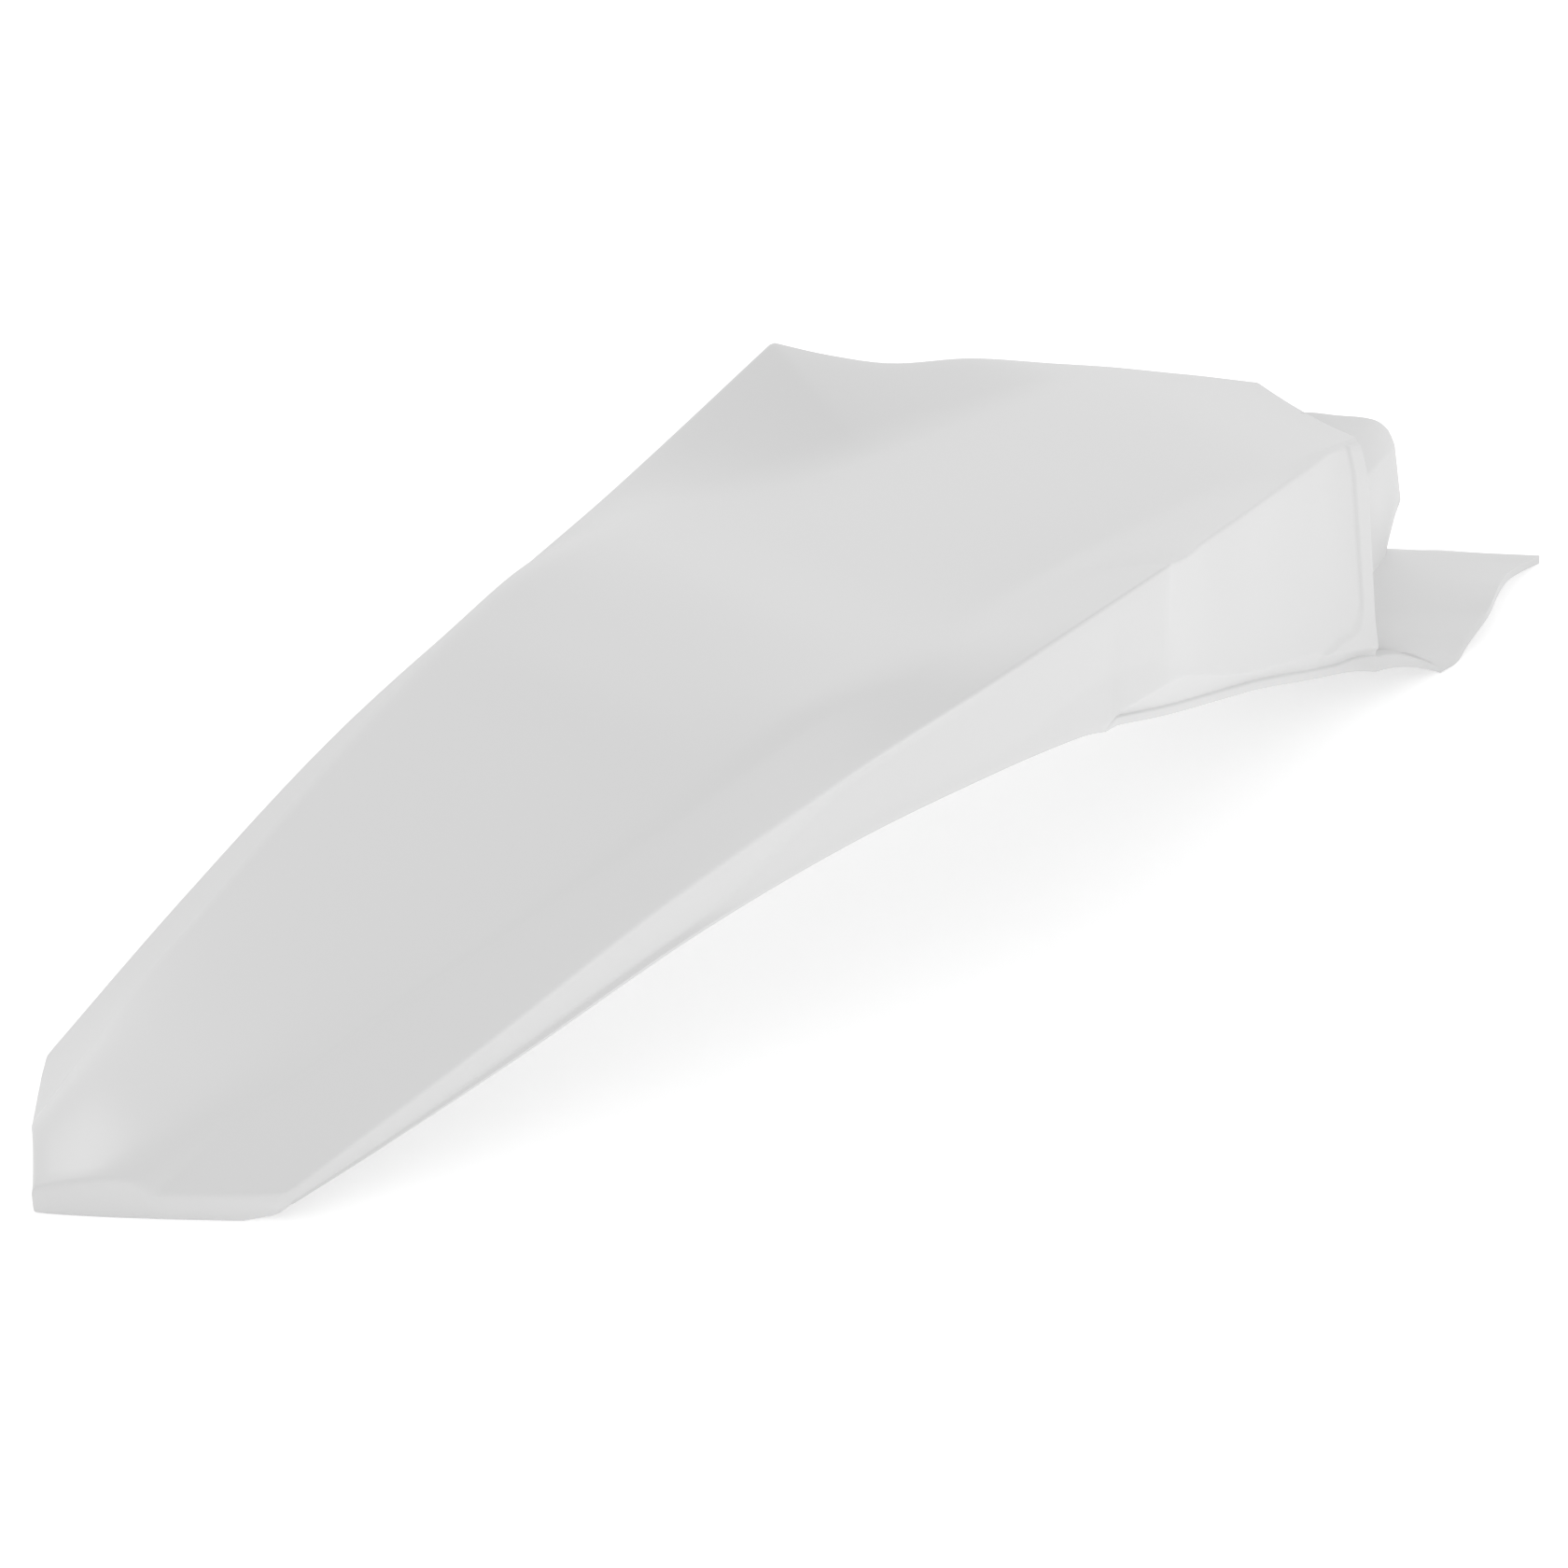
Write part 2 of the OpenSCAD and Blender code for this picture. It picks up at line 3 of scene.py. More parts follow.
import bmesh
import bpy
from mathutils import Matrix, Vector


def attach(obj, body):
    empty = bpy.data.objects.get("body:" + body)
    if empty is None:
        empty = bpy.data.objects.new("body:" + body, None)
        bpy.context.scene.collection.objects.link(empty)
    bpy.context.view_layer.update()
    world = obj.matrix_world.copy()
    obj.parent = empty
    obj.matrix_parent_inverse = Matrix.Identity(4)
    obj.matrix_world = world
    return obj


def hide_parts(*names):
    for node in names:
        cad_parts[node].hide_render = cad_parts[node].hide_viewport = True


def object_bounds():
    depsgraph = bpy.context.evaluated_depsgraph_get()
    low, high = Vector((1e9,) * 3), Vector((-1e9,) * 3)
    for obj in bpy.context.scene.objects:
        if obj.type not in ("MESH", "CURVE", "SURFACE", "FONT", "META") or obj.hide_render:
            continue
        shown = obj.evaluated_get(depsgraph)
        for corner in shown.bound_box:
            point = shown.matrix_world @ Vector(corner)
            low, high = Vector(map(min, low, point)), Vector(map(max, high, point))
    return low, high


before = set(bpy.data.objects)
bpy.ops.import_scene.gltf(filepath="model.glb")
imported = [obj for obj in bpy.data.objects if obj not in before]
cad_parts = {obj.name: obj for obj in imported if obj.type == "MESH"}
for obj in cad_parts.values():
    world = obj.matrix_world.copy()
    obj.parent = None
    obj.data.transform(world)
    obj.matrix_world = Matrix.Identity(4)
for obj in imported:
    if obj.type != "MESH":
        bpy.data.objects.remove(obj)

# A rear fender of an off-road motorcycle: one moulding of white polypropylene.
# Distances run from the tail tip forward, half widths from the middle plane, heights from the floor, in millimetres.

cad_low, cad_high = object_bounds()
MM = 0.001
MERGE = 0.001 * MM
LENGTH = (cad_high.x - cad_low.x) / MM
WING_HALF = cad_high.y / MM
WING_H = (cad_high.z - cad_low.z) / MM
WALL = 2.8

TAIL_HALF = 65.5
TAIL_SETBACK = 64
TAIL_LEAN = 2.5
TAIL_CORNER_X = 62
TAIL_CORNER_ROUND = 8
TAIL_CORNER_REACH = 18
TAIL_END_SLOPE = 0.89
TAIL_SIDE_SLOPE = 0.14
TIP_INSET = 1.2
HEEL_W = 4.5
HEEL_ROUND = 2
END_ROUND = 3
CREST_X = 305
STEP_X = 420
WING_X = 443
NOSE_X = 604
FAN = 150
LIP_W = 3
LIP_H = 3.5
TONGUE_LIP_H = 6.4
GROOVE_W = 0.9
EDGE_ROUND = 0.8
UNDER_W = 1.5
RIM_W = 9
RIM_T = 1
RIM_REACH = 60
LIP_GROWS_X = 575
DECK_T = 1.15 * WALL
DECK_H = 49
DECK_SLOPE = math.radians(24)
TONGUE_HALF = 37
TONGUE_CORNER_X = 636
BOLT_X = (582, 536)
BOLT_Y = 20
BOLT_R = 3.3
BOSS_R = 9
BOSS_H = 16
BOSS_CHAMFER = 0.5
BORE_CLEAR_R = 5.5
BRACKET_INNER = 0.86

# Feature lines of the moulding: distance from the tail tip, half width, height
MIDDLE = ((0, 0, 10), (25, 0, 19.5), (59, 0, 34.5), (84, 0, 44), (129, 0, 62.5), (182, 0, 83.5), (235, 0, 104),
          (271, 0, 117.5), (325, 0, 127.5), (374, 0, 125.5), (483, 0, 125.5), (543, 0, 123.5), (572, 0, 115.8),
          (604, 0, 103.5))
RIDGE = ((28, 33, 10.5), (59, 37, 29), (84, 42.5, 40.5), (129, 49.5, 59.5), (182, 60, 80.5), (235, 69, 101),
         (271, 73.5, 114.5), (305, 75, 124.5), (353, 71, 125.5), (409, 61, 123.5), (459, 55.5, 124), (500, 52, 124.5),
         (543, 47, 122.5), (572, 39, 115.3), (604, 26.5, 105))
CREASE = ((62, 65.3, 12), (140, 77.5, 45.5), (220, 86.5, 79), (307, 93.5, 106), (364, 99, 122.5),
          (WING_X, WING_HALF, WING_H))
CREASE_FRONT = ((WING_X, WING_HALF, WING_H), (461, 97.5, 139.5), (480, 86, 134), (509, 75, 130), (536, 61.5, 123.5),
                (560, 49.5, 117.5), (585, 36, 110), (604, 29, 101.5))
EDGE = ((66.5, 66, 8), (103, 69, 17), (166, 76, 36), (240, 85.5, 61.5), (304, 93.5, 77.5), (364, 99, 85),
        (406, 103.6, 88.2), (420, 104.3, 85.8))
RAIL = ((420, 103, 86.7), (431, 102, 84), (453, 96.5, 76.5), (486, 84.5, 64.5), (519, 71, 51.5), (556, 56, 35),
        (592, 39.5, 18), (604, 38.5, 13))
FOOT = ((420, 105, 92.5), (428, 106, 94.5), (443, 106, 96.5), (453, 103, 95), (463, 98.5, 90), (504, 81, 68),
        (554, 60, 47.5), (604, 38.5, 24))
FOLD = ((244, 0, 66), (314, 0, 86), (350, 0, 89.5), (381, 0, 95), (399, 0, 103), (414, 0, 107.5), (443, 0, 107.5),
        (463, 0, 92), (504, 0, 70), (604, 0, 26))
# The tongue's front edge: share of its half width, distance, height of the underside
TONGUE = ((0, LENGTH, 0), (0.06, 710, 1.5), (0.12, 704, 3), (0.27, 692, 6), (0.5, 679.5, 8), (0.73, 667, 7),
          (0.84, 654, 2.5), (0.93, 647, 0.5), (0.98, 641, 0.1), (1, TONGUE_CORNER_X, 0.6))
# The seat bracket: its ridge, eave, cheek, fold and foot, each from inside the nose to the prow
BRACKET = (((590, 0, 106), (602, 0, 104.5), (618, 0, 97.5), (636, 0, 89), (643, 0, 82), (646, 0, 75)),
           ((590, 24.5, 85), (602, 22.5, 83.5), (616, 18, 80.5), (634, 8, 77.5), (641, 3.6, 76), (646, 0, 75)),
           ((590, 25, 82), (602, 23.5, 79.5), (616, 19.2, 75.5), (634, 9.5, 64.5), (643, 4.5, 57), (649, 0, 51)),
           ((590, 25, 79), (602, 23.8, 75.5), (616, 19.5, 71), (634, 9, 56.5), (641.5, 4.5, 50), (646.5, 0, 46)),
           ((590, 21, 47), (602, 19.5, 38), (616, 16, 31), (630, 8.5, 29.5), (637, 4, 29.5), (641.5, 0, 31)))


def mix(a, b, t):
    return a + (b - a) * t


def ease(t):
    c = min(1, max(0, t))
    return c * c * (3 - 2 * c)


def steps(start, end, count):
    return [mix(start, end, i / count) for i in range(count + 1)]


def through(line, x):
    """Point of the smooth curve through a feature line, at the distance x; straight on beyond its ends."""
    i = 0
    while i < len(line) - 2 and x >= line[i + 1][0]:
        i += 1

    def slope(j, axis):
        a, b = line[max(0, j - 1)], line[min(len(line) - 1, j + 1)]
        return (b[axis] - a[axis]) / (b[0] - a[0])

    wide = line[i + 1][0] - line[i][0]
    t = (x - line[i][0]) / wide
    found = [x]
    for axis in (1, 2):
        if 0 <= t <= 1:
            bulge = slope(i, axis) * wide * t * (1 - t) ** 2 - slope(i + 1, axis) * wide * t * t * (1 - t)
            found.append(mix(line[i][axis], line[i + 1][axis], ease(t)) + bulge)
        else:
            found.append(mix(line[i][axis], line[i + 1][axis], t))
    return Vector(found)


def fanned(line, station):
    """Near the tail the sections fan out, so that the first one follows the slanted end."""
    return station + line[0][0] * max(0, 1 - station / FAN)


def bend(a, b, c, t):
    return mix(mix(a, b, t), mix(b, c, t), t)


def rail_share(station):
    return ease((station - STEP_X + 4) / 8)


def corners(station):
    """The corners of half a section: ridge, crease, fold of the undercut, fold over the foot, foot, lower edge."""
    ridge = through(RIDGE, fanned(RIDGE, station))
    crease_x = fanned(CREASE, station)
    crease = through(CREASE if crease_x < WING_X else CREASE_FRONT, crease_x)
    edge_x = fanned(EDGE, station)
    b = rail_share(station)
    edge = mix(through(EDGE, min(edge_x, STEP_X + 6)), through(RAIL, max(edge_x, STEP_X - 4)), b)
    edge.x = edge_x
    foot = mix(mix(edge, crease, 0.06), through(FOOT, max(edge_x, STEP_X - 4)), b)
    foot.x = edge_x
    valley = mix(crease, foot, mix(0.9, 0.12, ease((crease.x - 232) / 80)))
    valley.y -= min(1.8, 0.08 * (crease.z - foot.z)) * (1 - ease((station - CREST_X - 20) / 60))
    valley.y += 2.2 * ease(1 - (NOSE_X - station) / 30)
    fold_z = max(mix(foot.z, valley.z, 0.15), min(mix(foot.z, valley.z, 0.7), through(FOLD, edge_x).z))
    fold = mix(valley, foot, (valley.z - fold_z) / (valley.z - foot.z))
    fold.y -= 0.08 * (fold_z - foot.z)
    return ridge, crease, valley, fold, foot, edge


def rounded(chain, setbacks, arcs, stretches):
    """Points along a chain of corners: each inner corner is rounded off by its set-back, each stretch is split."""
    points = []
    starts = [chain[0]]
    ends = []
    for i in range(1, len(chain) - 1):
        before, after = chain[i] - chain[i - 1], chain[i + 1] - chain[i]
        reach = min(setbacks[i - 1], 0.45 * before.length, 0.45 * after.length)
        ends.append(chain[i] - before.normalized() * reach)
        starts.append(chain[i] + after.normalized() * reach)
    ends.append(chain[-1])
    for i, (a, b) in enumerate(zip(starts, ends)):
        points += [mix(a, b, t) for t in steps(0, 1, stretches[i])]
        if i < len(chain) - 2:
            points += [bend(b, chain[i + 1], starts[i + 1], t) for t in steps(0, 1, arcs[i])[1:-1]]
    return points


def rim_share(station, height):
    """How far a point of the nose wall belongs to the raised rim, which turns rearward over the foot."""
    front = station - NOSE_X + RIM_W
    low = 5 - height - 8 * (1 - ease((station - 552) / 32))
    blend = max(0, 1 - abs(front - low) / 16)
    return ease((max(front, low) + 4 * blend * blend + 0.9) / 1.8)


# Columns of the half section: the top, the ridge's round, then the side's corners from the crease to the lower edge
TOP_COLUMNS = 10
ROUND_COLUMNS = 9
CREASE_COLUMN = TOP_COLUMNS + ROUND_COLUMNS + 5
SIDE_SETBACKS = (1.6, 2.5, 1.5, 0.8, 0.8, 0.6, 0.8, EDGE_ROUND)
SIDE_ARCS = (4, 4, 3, 3, 2, 2, 3, 3)
SIDE_STRETCHES = (4, 2, 30, 8, 1, 3, 1, 1, 1)


def half_section(station):
    """Outline of the outer face at a station, from the middle of the top to the lower edge."""
    ridge, crease, valley, fold, foot, edge = corners(station)
    soft = 0.5 * ease((station - 90) / 230) * mix(1, 0.3, ease((station - 540) / 60))
    flat = mix(0.965, 0.76, soft)
    drop = mix(5, 2, ease(station / 100))

    def top(t):
        x = mix(station, ridge.x, t ** 0.9)
        return Vector((x, ridge.y * t, mix(through(MIDDLE, x).z, ridge.z, t ** drop)))

    outer = mix(ridge, crease, mix(0.03, 0.42, soft))
    points = [top(flat * t) for t in steps(0, 1, TOP_COLUMNS)[:-1]]
    points += [bend(top(flat), ridge, outer, t) for t in steps(0, 1, ROUND_COLUMNS)]
    b = rail_share(station)
    front = ease((station - LIP_GROWS_X) / (NOSE_X - LIP_GROWS_X))
    lip_h = mix(LIP_H, TONGUE_LIP_H, front)
    groove = Vector((edge.x, edge.y - mix(GROOVE_W, 0.6, front), edge.z + lip_h + 0.6))
    groove_top = mix(mix(foot, edge, 0.3), mix(foot, groove, 0.7), b)
    groove_low = mix(mix(foot, edge, 0.55), groove, b)
    lip = mix(mix(foot, edge, 0.8), Vector((edge.x, edge.y, edge.z + lip_h)), b)
    under = edge - Vector((0, UNDER_W, 0))
    chain = [outer, crease, valley, fold, foot, groove_top, groove_low, lip, edge, under]
    side = rounded(chain, SIDE_SETBACKS, SIDE_ARCS, SIDE_STRETCHES)
    if station > NOSE_X - RIM_REACH:
        for p in side[4:]:
            if p.z > foot.z - 1:
                p.y += RIM_T * rim_share(station, p.z - foot.z)
    return points + side[1:]


def end_foot(first, column):
    """Where the end face meets the floor, under each point of the first section."""
    last = len(first) - 1
    y = first[min(column, CREASE_COLUMN)].y * 0.93
    if column > CREASE_COLUMN:
        y = mix(y, first[last].y, (column - CREASE_COLUMN) / (last - CREASE_COLUMN))
    q = y / TAIL_HALF
    return Vector((mix(TAIL_LEAN, 0, q) + TAIL_SETBACK * 1.06 * q ** 1.1, y, EDGE[0][2] * ease((q - 0.86) / 0.15)))


def tail_limit(x):
    """Greatest half width at a distance from the tip: end and side of the tail, with a rounded corner between them."""
    end = TAIL_HALF + TAIL_END_SLOPE * (x - TAIL_CORNER_X)
    side = TAIL_HALF + TAIL_SIDE_SLOPE * (x - TAIL_CORNER_X)
    near = max(0, 1 - abs(end - side) / TAIL_CORNER_ROUND)
    return min(end, side) - TAIL_CORNER_ROUND * near * near / 4


def placed(point):
    """A point of the feature lines, in the frame's place and in metres."""
    return Vector((cad_low.x + point.x * MM, point.y * MM, cad_low.z + point.z * MM))


def outward(rows, i, k):
    """Outward direction of a grid of points at a row and a column."""
    n, w = len(rows) - 1, len(rows[0]) - 1
    along = rows[min(n, i + 1)][k] - rows[max(0, i - 1)][k]
    side = rows[i][min(w, k + 1)] - rows[i][max(0, k - 1)]
    if k == 0:
        side.x = side.z = 0
    return along.cross(side).normalized()


def side_inner(row, column, station):
    """Inner face of the side wall: it follows the wall behind the folds, and is flat behind the groove and the lip."""
    crease, edge = row[CREASE_COLUMN], row[-1]
    t = (column - CREASE_COLUMN) / (len(row) - 1 - CREASE_COLUMN)
    top = Vector((crease.x + WALL * max(0, 1 - station / 30), crease.y - WALL, crease.z - 1.2 * WALL))
    z = mix(top.z, edge.z, t)
    y = edge.y
    for a, b in zip(row[CREASE_COLUMN:], row[CREASE_COLUMN + 1:]):
        if b.z <= z <= a.z and a.z > b.z:
            y = mix(b.y, a.y, (z - b.z) / (a.z - b.z))
            break
    flat = mix(top.y, edge.y - LIP_W - WALL, t)
    return Vector((mix(top.x, edge.x, t), mix(y - WALL, flat, rail_share(station)), z))


def sheet(bm, rows):
    """A grid of faces through rows of points."""
    n, w = len(rows) - 1, len(rows[0]) - 1
    made = bmesh.ops.create_grid(bm, x_segments=n, y_segments=w, size=0.5)["verts"]
    for v in made:
        v.co = placed(rows[round((v.co.x + 0.5) * n)][round((v.co.y + 0.5) * w)])


def walled(outer, inner):
    """The closed wall between two half sheets, mirrored over the middle plane, or apart on each side of it."""
    bm = bmesh.new()
    sheet(bm, outer)
    bmesh.ops.reverse_faces(bm, faces=bm.faces[:])
    sheet(bm, inner)
    apart = outer[0][0].y > 0
    if apart:
        bmesh.ops.bridge_loops(bm, edges=[e for e in bm.edges if e.is_boundary])
    bmesh.ops.mirror(bm, geom=bm.verts[:] + bm.edges[:] + bm.faces[:], axis="Y", merge_dist=MERGE)
    middle = [v for v in bm.verts if abs(v.co.y) < MERGE]
    bmesh.ops.remove_doubles(bm, verts=middle, dist=MERGE)
    if not apart:
        bmesh.ops.bridge_loops(bm, edges=[e for e in bm.edges if e.is_boundary])
    bmesh.ops.recalc_face_normals(bm, faces=bm.faces[:])
    return bm


def finished(bm, name, material, smooth_deg=30):
    """The finished piece: smooth faces, sharp where they meet at more than the given angle."""
    mesh = bpy.data.meshes.new(name)
    bm.to_mesh(mesh)
    bm.free()
    mesh.materials.append(material)
    piece = bpy.data.objects.new(name, mesh)
    bpy.context.scene.collection.objects.link(piece)
    mesh.shade_smooth()
    mesh.set_sharp_from_angle(angle=math.radians(smooth_deg))
    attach(piece, "root")
    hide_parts("rear_fender")
    return piece


def linear(hex_colour):
    """Linear colour of an sRGB hex value."""
    channels = [int(hex_colour[i:i + 2], 16) / 255 for i in (1, 3, 5)]
    return [c / 12.92 if c <= 0.04045 else ((c + 0.055) / 1.055) ** 2.4 for c in channels] + [1]


def node(tree, kind, links=(), **settings):
    """Adds a node; settings name its properties or sockets, links are (socket name, output of another node)."""
    made = tree.nodes.new(kind)
    for key, value in settings.items():
        if hasattr(made, key):
            setattr(made, key, value)
        else:
            made.inputs[key.replace("_", " ")].default_value = value
    for socket, output in links:
        tree.links.new(output, made.inputs[socket])
    return made


WAVES_PER_M = 18  # one wave in about 56 mm


def polypropylene():
    """Injection-moulded polypropylene from a polished mould: a soft even sheen, barely wavy where the wall sinks."""
    material = bpy.data.materials.new("glossy_polypropylene")
    material.use_nodes = True
    tree = material.node_tree
    shader = tree.nodes["Principled BSDF"]
    shader.inputs["Base Color"].default_value = linear("#dadada")
    shader.inputs["Roughness"].default_value = 0.3
    shader.inputs["IOR"].default_value = 1.49
    place = node(tree, "ShaderNodeTexCoord")
    waves = node(tree, "ShaderNodeTexNoise", [("Vector", place.outputs["Object"])], Scale=WAVES_PER_M, Detail=2,
                 Roughness=0.4)
    bump = node(tree, "ShaderNodeBump", [("Height", waves.outputs["Fac"])], Strength=0.03, Distance=0.004)
    tree.links.new(bump.outputs["Normal"], shader.inputs["Normal"])
    return material


plastic = polypropylene()

# Rows of the skin: the heel and its round, the end's round into the sections, and the nose's turned edge
HEEL_ROWS = 6
END_SECTIONS = 3
NOSE_TURN = (0.33, 0.67, 1)


def tail_inside(p, foot, heel):
    """Inner face behind a point of the tail's end: it follows the slanted end, and thins out over the heel."""
    t = min(1, p.y / 15)
    reach = max(0.3, WALL - (p.x - foot.x if heel else 0))
    inside = p + Vector((mix(1.45, 0.69, t), -0.72 * t, 0)) * reach
    if heel:
        inside.z += max(0, 1.2 - 0.25 * p.z)
    return inside


def skin():
    """The outer moulding: its sections from the tail to the nose, closed by the slanted end and its heel."""
    stations = steps(TIP_INSET, 60, 12) + steps(60, 400, 52) + steps(400, 450, 24) + steps(450, 556, 26)
    stations = sorted(set(stations + steps(556, 594, 32) + steps(594, NOSE_X - EDGE_ROUND, 14)))
    sections = [half_section(s) for s in stations]
    columns = range(len(sections[0]))
    foot_row = [end_foot(sections[0], k) for k in columns]
    end_columns = []
    for k in columns:
        heel = foot_row[k] + Vector((HEEL_W, 0, 0))
        chain = [heel, foot_row[k], sections[0][k], sections[END_SECTIONS - 1][k]]
        end_columns.append(rounded(chain, (HEEL_ROUND, END_ROUND), (4, 5), (1, 3, 1)))
    end_rows = [[column[j] for column in end_columns] for j in range(len(end_columns[0]))]
    rows = end_rows + sections[END_SECTIONS:]
    for row in rows:
        for p in row:
            if abs(p.x - TAIL_CORNER_X) < TAIL_CORNER_REACH:
                p.y = min(p.y, tail_limit(p.x) + max(0, p.x - TAIL_CORNER_X) * 0.1)
    nose = half_section(NOSE_X)
    turned = [nose[k] - outward([rows[-1], nose], 1, k) * EDGE_ROUND for k in columns]
    rows += [[bend(rows[-1][k], nose[k], turned[k], t) for k in columns] for t in NOSE_TURN]
    inner = []
    for i, row in enumerate(rows):
        inner.append([])
        station = stations[min(max(0, i - len(end_rows) + END_SECTIONS), len(stations) - 1)]
        base = min(i, len(rows) - len(NOSE_TURN) - 1)
        for k, p in enumerate(row):
            if i < HEEL_ROWS or (i < len(end_rows) and k >= CREASE_COLUMN):
                inside = tail_inside(p, rows[HEEL_ROWS - 1][k], i < HEEL_ROWS)
            elif k < CREASE_COLUMN:
                inside = rows[base][k] - outward(rows[:-len(NOSE_TURN)], base, k) * WALL
                inside.x += p.x - rows[base][k].x
            else:
                inside = side_inner(rows[base], k, station)
                inside.x += p.x - rows[base][k].x
            inner[-1].append(inside)
    return finished(walled(rows, inner), "skin", plastic)


def deck_edge(x):
    """Side edge of the deck, inside the rail's lip."""
    e = through(RAIL, max(x, STEP_X))
    return Vector((x, e.y - LIP_W - WALL / 2, e.z))


def arch_z(x, q):
    """Height of the deck's top at a distance, and a share of its half width."""
    crown = DECK_H + (NOSE_X - x) * math.tan(DECK_SLOPE)
    return mix(crown, deck_edge(x).z + DECK_T, q ** 1.5)


def skin_z(section, y):
    """Height of the skin's outer face over a half width."""
    i = 0
    while i < CREASE_COLUMN and section[i + 1].y < y:
        i += 1
    a, b = section[i], section[i + 1]
    return mix(a.z, b.z, (y - a.y) / (b.y - a.y))


def tongue_point(q, t):
    """Point of the tongue's top: share of the half width, share of the way from the nose to the front edge."""
    start = Vector((NOSE_X, deck_edge(NOSE_X).y * q, arch_z(NOSE_X, q)))
    front = through(TONGUE, q)
    point = mix(start, Vector((front.y, q * TONGUE_HALF, front.z + DECK_T)), t)
    point.z += 4 * q ** 4 * 4 * t * (1 - t)
    return point


def deck():
    """The arch on the wheel side, which rises to the skin at its rear and runs out in front as the tongue."""
    shares = steps(0, 1, 30)
    rows = []
    for x in steps(WING_X - 8, NOSE_X, 44)[:-1]:
        section = half_section(x)
        rows.append([])
        for q in shares:
            y = deck_edge(x).y * q
            under_skin = skin_z(section, y) - 0.6 * WALL
            z = mix(min(arch_z(x, q), under_skin), under_skin, ease((WING_X + 42 - x) / 48))
            rows[-1].append(Vector((x, y, z)))
    rows += [[tongue_point(q, t) for q in shares] for t in steps(0, 1, 26)]
    below = [[p - Vector((0, 0, DECK_T)) for p in row] for row in rows]
    bm = walled(rows, below)
    for x in BOLT_X:
        for y in (-BOLT_Y, BOLT_Y):
            axis = placed(Vector((x, y, 0)))
            bore = [f for f in bm.faces if (f.calc_center_median() - axis).xy.length < BORE_CLEAR_R * MM]
            bmesh.ops.delete(bm, geom=bore, context="FACES")
            bmesh.ops.bridge_loops(bm, edges=[e for e in bm.edges if e.is_boundary])
    bmesh.ops.recalc_face_normals(bm, faces=bm.faces[:])
    return finished(bm, "deck_and_tongue", plastic)


def tongue_lip():
    """The rail's lip, which runs on along the side of the tongue to its corner."""
    outer, inner = [], []
    for t in steps(-0.06, 1, 24):
        x = mix(NOSE_X, TONGUE_CORNER_X, t)
        low = RAIL[-1][2] * (1 - max(0, t) ** 1.6) - min(0, t) * 14
        high = low + mix(TONGUE_LIP_H, DECK_T - 0.3, ease(t))
        out = mix(RAIL[-1][1], TONGUE_HALF, ease(t))
        chain = [Vector((x, out - LIP_W - 1, high + 0.2)), Vector((x, out, high)), Vector((x, out, low)),
                 Vector((x, out - 1.5, low))]
        outer.append(rounded(chain, (0.7, 0.7), (3, 3), (2, 2, 1)))
        inner.append([mix(Vector((x, out - LIP_W - 1, high - 1)), Vector((x, out - WALL, low)), s)
                      for s in steps(0, 1, len(outer[-1]) - 1)])
    return finished(walled(outer, inner), "tongue_lip", plastic)


def bracket():
    """The seat bracket in front of the nose: a hollow prow whose roof and cheeks are flat facets."""
    outer = []
    for t in steps(0, 1, 36):
        chain = []
        for line in BRACKET:
            chain.append(through(line, mix(line[0][0], line[-1][0], t)))
        outer.append(rounded(chain, (1.2, 0.8, 1.2), (4, 2, 4), (6, 3, 3, 6)))
    outer[-1] = [Vector((p.x, 0, p.z)) for p in outer[-1]]
    inner = []
    for row in outer:
        high, low = row[0].z, row[-1].z
        inner.append([Vector((p.x - WALL, BRACKET_INNER * p.y, p.z - WALL * (p.z - low) / (high - low))) for p in row])
    return finished(walled(outer, inner), "seat_bracket", plastic, 25)


def bosses():
    """Upright bosses on the deck, with clearance holes for the bolts that come up from below."""
    for x in BOLT_X:
        for side in (-1, 1):
            top = arch_z(x, BOLT_Y / deck_edge(x).y) - DECK_T + BOSS_H / 2
            outline = [(BOLT_R, 0), (BOSS_R - BOSS_CHAMFER, 0), (BOSS_R, -BOSS_CHAMFER),
                       (BOSS_R, BOSS_CHAMFER - BOSS_H), (BOSS_R - BOSS_CHAMFER, -BOSS_H), (BOLT_R, -BOSS_H)]
            axis = Vector((x, side * BOLT_Y, top))
            bm = bmesh.new()
            verts = [bm.verts.new(placed(axis + Vector((radius, 0, drop)))) for radius, drop in outline]
            edges = [bm.edges.new(pair) for pair in zip(verts, verts[1:] + verts[:1])]
            bmesh.ops.spin(bm, geom=verts + edges, cent=placed(axis), axis=(0, 0, 1), angle=2 * math.pi, steps=48,
                           use_merge=True)
            bmesh.ops.recalc_face_normals(bm, faces=bm.faces[:])
            finished(bm, "bolt_boss", plastic)


skin()
deck()
tongue_lip()
bracket()
bosses()


FLOOR_SEEN = 0.46  # glow that makes the floor white to the camera, with the shadow left on it
FLOOR_FAR_GLOW, FLOOR_NEAR_GLOW = 0.05, 0.56
SKY_LOW, SKY_FRONT = 1.03, 0.81


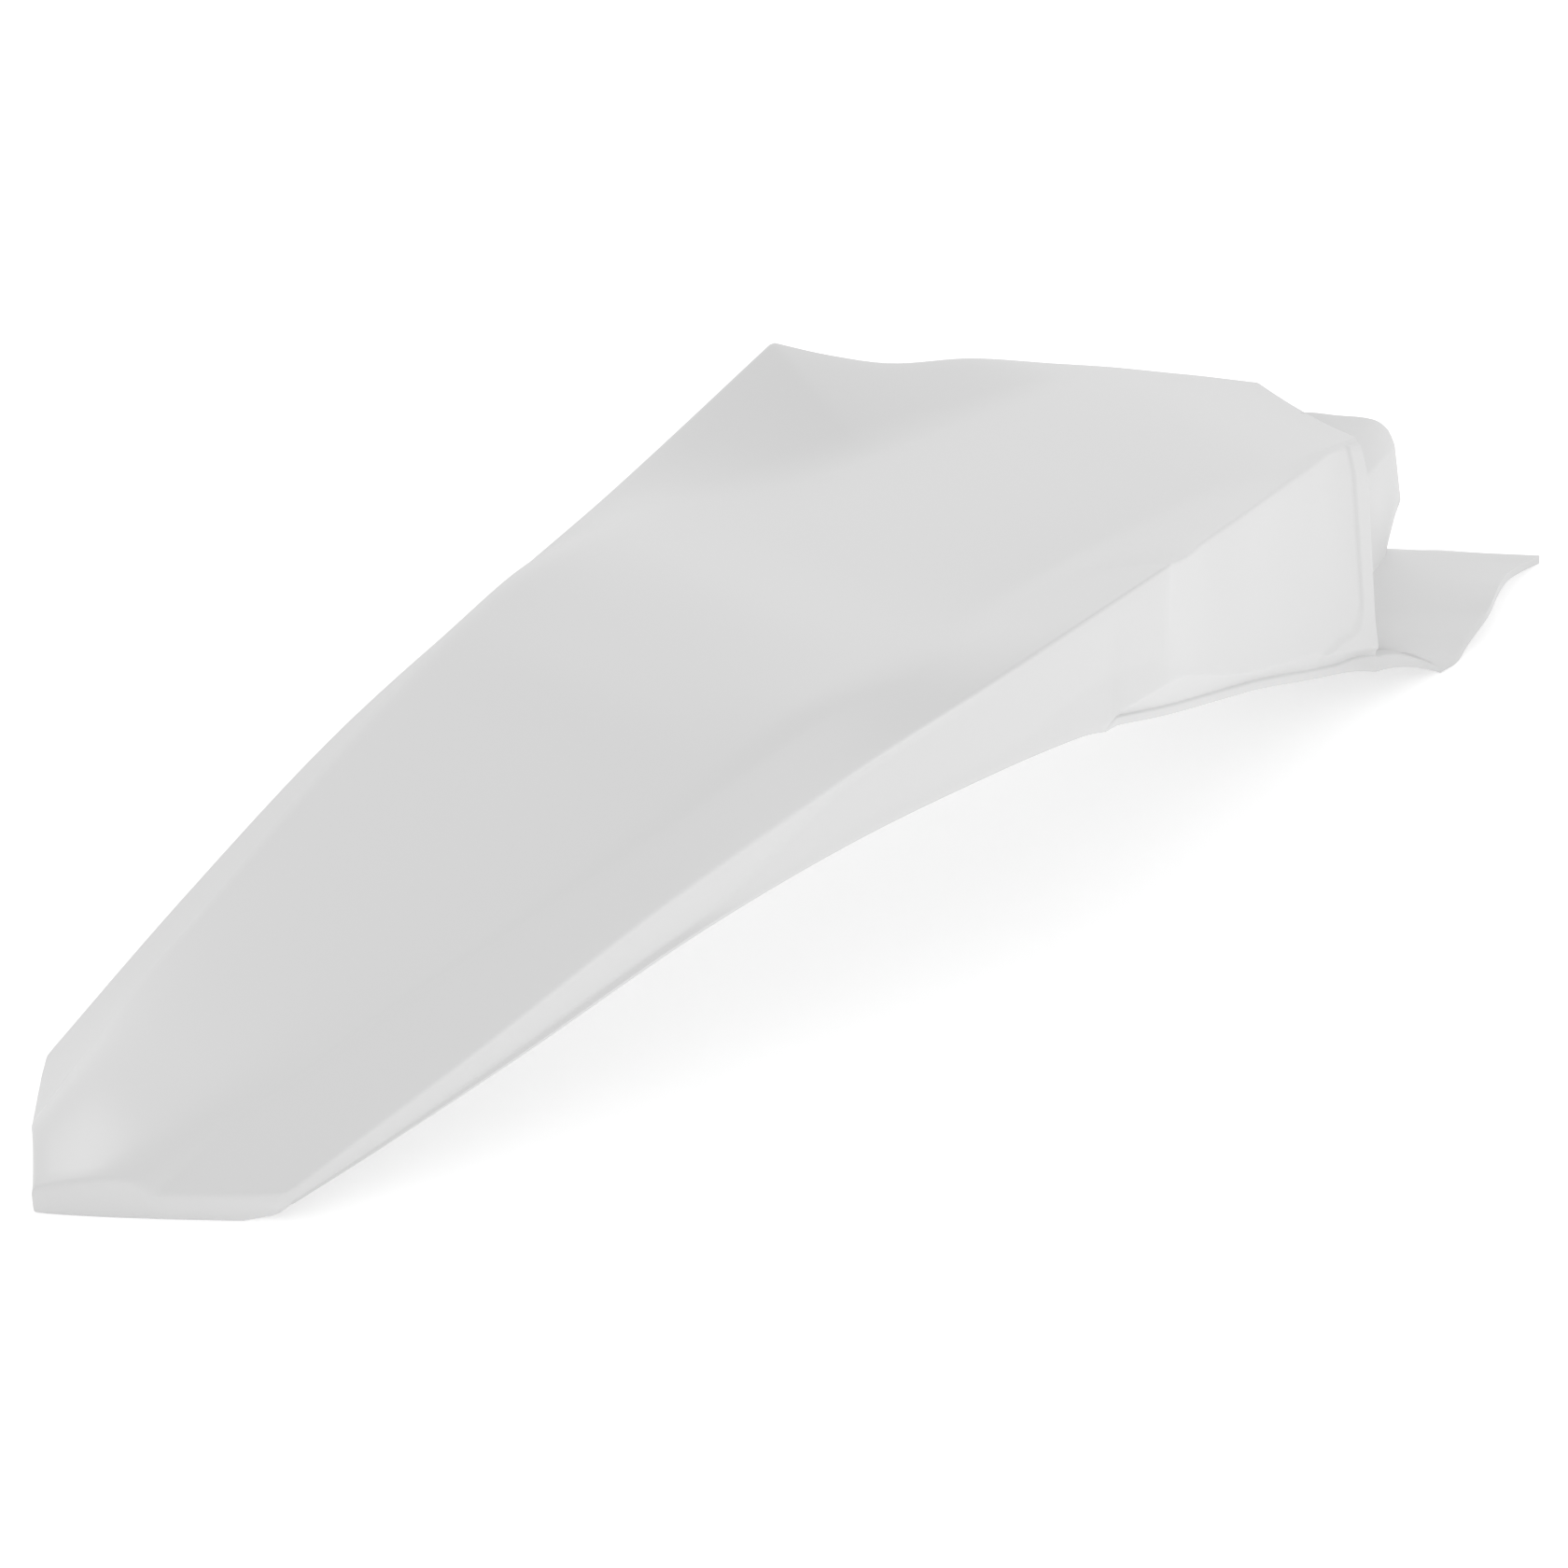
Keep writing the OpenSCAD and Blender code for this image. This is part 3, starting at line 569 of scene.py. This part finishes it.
def floor():
    """A pale light table: it glows most in front of the part, so that the flanks stay light."""
    bm = bmesh.new()
    bmesh.ops.create_grid(bm, x_segments=1, y_segments=1, size=6)
    mesh = bpy.data.meshes.new("floor")
    bm.to_mesh(mesh)
    bm.free()
    ground = bpy.data.objects.new("floor", mesh)
    ground.location.z = cad_low.z
    bpy.context.scene.collection.objects.link(ground)
    material = bpy.data.materials.new("light_table")
    material.use_nodes = True
    tree = material.node_tree
    shader = tree.nodes["Principled BSDF"]
    shader.inputs["Base Color"].default_value = linear("#e6e6e6")
    shader.inputs["Roughness"].default_value = 0.9
    shader.inputs["Emission Color"].default_value = (1, 1, 1, 1)
    place = node(tree, "ShaderNodeTexCoord")
    near = node(tree, "ShaderNodeVectorMath", [(0, place.outputs["Object"])], operation="DOT_PRODUCT")
    near.inputs[1].default_value = (0, -1, 0)
    glow = node(tree, "ShaderNodeMapRange", [("Value", near.outputs["Value"])], From_Min=-0.2, From_Max=0.25,
                To_Min=FLOOR_FAR_GLOW, To_Max=FLOOR_NEAR_GLOW)
    path = node(tree, "ShaderNodeLightPath")
    white = node(tree, "ShaderNodeMath", [(0, path.outputs["Is Camera Ray"])], operation="MULTIPLY")
    white.inputs[1].default_value = FLOOR_SEEN
    shown = node(tree, "ShaderNodeMath", [(0, glow.outputs["Result"]), (1, white.outputs["Value"])],
                 operation="MAXIMUM")
    tree.links.new(shown.outputs["Value"], shader.inputs["Emission Strength"])
    mesh.materials.append(material)


def studio():
    """White surroundings: full white to the camera, and as light a little darker from above the near side."""
    world = bpy.data.worlds.new("studio")
    bpy.context.scene.world = world
    world.use_nodes = True
    tree = world.node_tree
    background = tree.nodes["Background"]
    background.inputs["Color"].default_value = (1, 1, 1, 1)
    place = node(tree, "ShaderNodeTexCoord")
    up_front = node(tree, "ShaderNodeVectorMath", [(0, place.outputs["Generated"])], operation="DOT_PRODUCT")
    up_front.inputs[1].default_value = (-0.35, -0.5, 0.8)
    sky = node(tree, "ShaderNodeMapRange", [("Value", up_front.outputs["Value"])], To_Min=SKY_LOW,
               To_Max=SKY_FRONT)
    path = node(tree, "ShaderNodeLightPath")
    seen = node(tree, "ShaderNodeMath", [(0, sky.outputs["Result"]), (1, path.outputs["Is Camera Ray"])],
                operation="MAXIMUM")
    tree.links.new(seen.outputs["Value"], background.inputs["Strength"])


def softbox(name, toward, distance, size, power, centre=(0, 0, 0), shape="SQUARE"):
    """A lamp that shines on a place from the given direction."""
    data = bpy.data.lights.new(name, "AREA")
    data.shape = shape
    data.size = size
    data.energy = power
    lamp = bpy.data.objects.new(name, data)
    direction = Vector(toward).normalized()
    lamp.location = Vector(centre) + direction * distance
    lamp.rotation_mode = "QUATERNION"
    lamp.rotation_quaternion = (-direction).to_track_quat("-Z", "Y")
    lamp.visible_camera = False
    bpy.context.scene.collection.objects.link(lamp)


LENS = 1600
CAMERA_DISTANCE = 24.9  # far away, because the photograph is close to a parallel view


def camera():
    data = bpy.data.cameras.new("camera")
    data.lens = LENS
    data.clip_end = 100
    cam = bpy.data.objects.new("camera", data)
    away = Vector((-0.570, -0.6556, 0.4955)).normalized()
    cam.location = Vector((-0.0023, 0.0007, 0.0429)) + away * CAMERA_DISTANCE
    cam.rotation_mode = "QUATERNION"
    cam.rotation_quaternion = (-away).to_track_quat("-Z", "Y")
    bpy.context.scene.collection.objects.link(cam)
    bpy.context.scene.camera = cam


floor()
studio()
softbox("back_box", (0.5, 0.6, 0.62), 4, 3, 8)
softbox("front_box", (-0.5, -0.7, 0.5), 4, 0.8, 1.2)
# A small lamp over the tail's tip leaves a soft oval of light there
softbox("catch_light", (0.02, 0.656, 0.755), 0.1, 0.02, 0.004, placed(Vector((25, -4, 19.4))), "DISK")
camera()
bpy.context.scene.view_settings.view_transform = "Standard"
